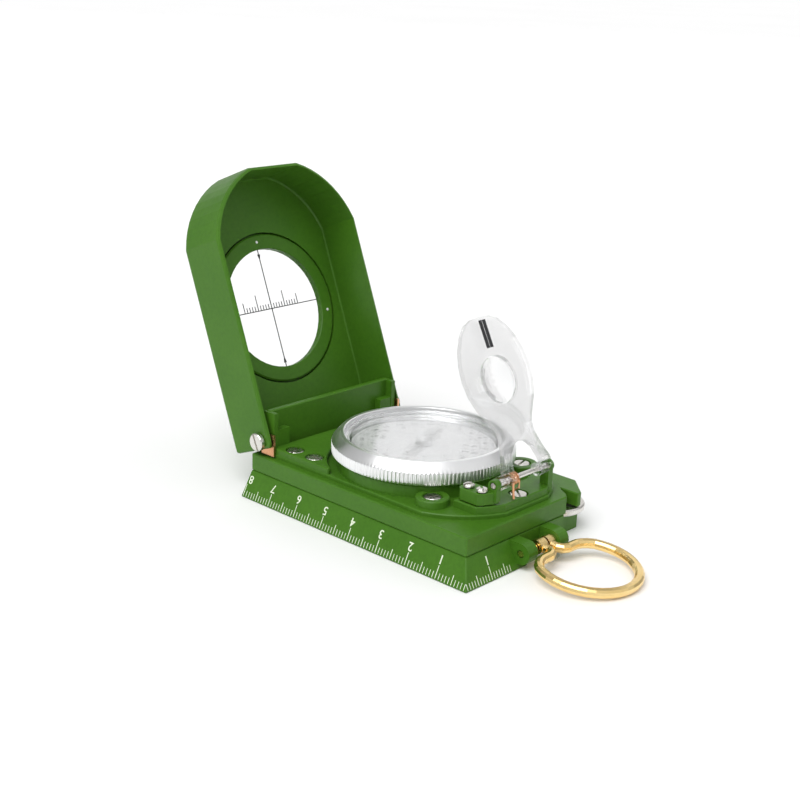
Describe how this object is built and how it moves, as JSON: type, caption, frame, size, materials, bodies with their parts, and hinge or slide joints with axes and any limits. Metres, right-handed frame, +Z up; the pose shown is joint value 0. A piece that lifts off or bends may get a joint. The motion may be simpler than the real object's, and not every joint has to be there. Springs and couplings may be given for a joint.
{
  "type": "sighting compass",
  "caption": "Folding sighting compass with a hinged cover and hair-line window, swinging magnifier, turning bezel, ruler edges, map wheel and lanyard ring.",
  "frame": {"origin": "flat underside, directly below the needle pivot", "axes": "+Z up, +Y along the line of sight from the eye end to the cover hinge, +X to the right of someone sighting"},
  "size_m": [0.0578, 0.1422, 0.0846],
  "materials": {
    "green_plastic": "satin moulded plastic",
    "dark_plastic": "matt moulded plastic",
    "nickel_plate": "dull nickel plate",
    "polished_brass": "polished",
    "copper_alloy": "drawn copper alloy",
    "satin_aluminium": "satin turned",
    "needle_steel": "ground steel",
    "clear_acrylic": "clear acrylic",
    "window_glass": "clear glass",
    "silver_card": "silver printed card"
  },
  "bodies": {
    "body": {"ruler_base": "green_plastic", "bottom_plate": "dark_plastic", "deck_housing": "green_plastic", "clamp_block": "green_plastic", "clamp_screw_1": "nickel_plate", "clamp_screw_2": "nickel_plate", "bottom_screw_1": "nickel_plate", "bottom_screw_2": "nickel_plate", "bottom_screw_3": "nickel_plate", "bottom_screw_4": "nickel_plate", "deck_screw_1": "nickel_plate", "deck_screw_2": "nickel_plate", "deck_screw_3": "nickel_plate", "deck_screw_4": "nickel_plate", "deck_screw_5": "nickel_plate", "deck_screw_6": "nickel_plate", "deck_screw_7": "nickel_plate", "hinge_screw_left": "nickel_plate", "hinge_screw_right": "nickel_plate", "hinge_bush_left": "copper_alloy", "hinge_bush_right": "copper_alloy", "compass_capsule": "dark_plastic", "pivot_pin": "needle_steel", "magnifier_pin": "nickel_plate", "magnifier_spring": "copper_alloy", "lanyard_pin": "polished_brass", "idler_stud": "needle_steel", "odometer_dial": "silver_card", "odometer_window": "clear_acrylic"},
    "cover": {"cover_shell": "green_plastic", "window_ring": "green_plastic", "window_glass": "window_glass"},
    "magnifier": {"magnifier_leaf": "clear_acrylic", "magnifier_lens": "window_glass"},
    "bezel": {"bezel_ring": "satin_aluminium", "bezel_glass": "clear_acrylic"},
    "card": {"compass_card": "silver_card", "card_magnet": "needle_steel", "jewel_cap": "satin_aluminium"},
    "lanyard": {"lanyard_ring": "polished_brass"},
    "wheel": {"map_wheel": "nickel_plate", "wheel_hub": "polished_brass", "wheel_axle": "needle_steel", "wheel_pinion": "polished_brass"},
    "idler": {"idler_gear": "polished_brass"},
    "dial_hand": {"dial_gear": "polished_brass", "dial_arbor": "needle_steel", "odometer_pointer": "dark_plastic"}
  },
  "joints": [
    {"name": "cover_hinge", "type": "hinge", "parent": "body", "child": "cover", "pos_m": [0, 0.0362, 0.016], "axis": [1, 0, 0], "range_deg": [-2, 112]},
    {"name": "magnifier_hinge", "type": "hinge", "parent": "body", "child": "magnifier", "pos_m": [0, -0.0329, 0.02], "axis": [1, 0, 0], "range_deg": [-56, 1]},
    {"name": "bezel_turn", "type": "hinge", "parent": "body", "child": "bezel", "pos_m": [0, 0, 0.0166], "axis": [0, 0, 1], "continuous": true},
    {"name": "card_swing", "type": "hinge", "parent": "body", "child": "card", "pos_m": [0, 0, 0.0186], "axis": [0, 0, 1], "continuous": true},
    {"name": "lanyard_swing", "type": "hinge", "parent": "body", "child": "lanyard", "pos_m": [0, -0.0412, 0.0042], "axis": [-1, 0, 0], "range_deg": [-70, 100]},
    {"name": "wheel_spin", "type": "hinge", "parent": "body", "child": "wheel", "pos_m": [0.019, -0.0299, 0.0064], "axis": [0, 0, 1], "continuous": true},
    {"name": "idler_turn", "type": "hinge", "parent": "body", "child": "idler", "pos_m": [0.01059, -0.0267, 0.0036], "axis": [0, 0, 1], "continuous": true},
    {"name": "hand_turn", "type": "hinge", "parent": "body", "child": "dial_hand", "pos_m": [-0.00262, -0.02389, 0.0036], "axis": [0, 0, 1], "continuous": true}
  ],
  "couplings": [
    {"joint": "magnifier_hinge", "follows": "cover_hinge", "ratio": -0.5},
    {"joint": "idler_turn", "follows": "wheel_spin", "ratio": -0.5},
    {"joint": "hand_turn", "follows": "wheel_spin", "ratio": 0.4}
  ]
}
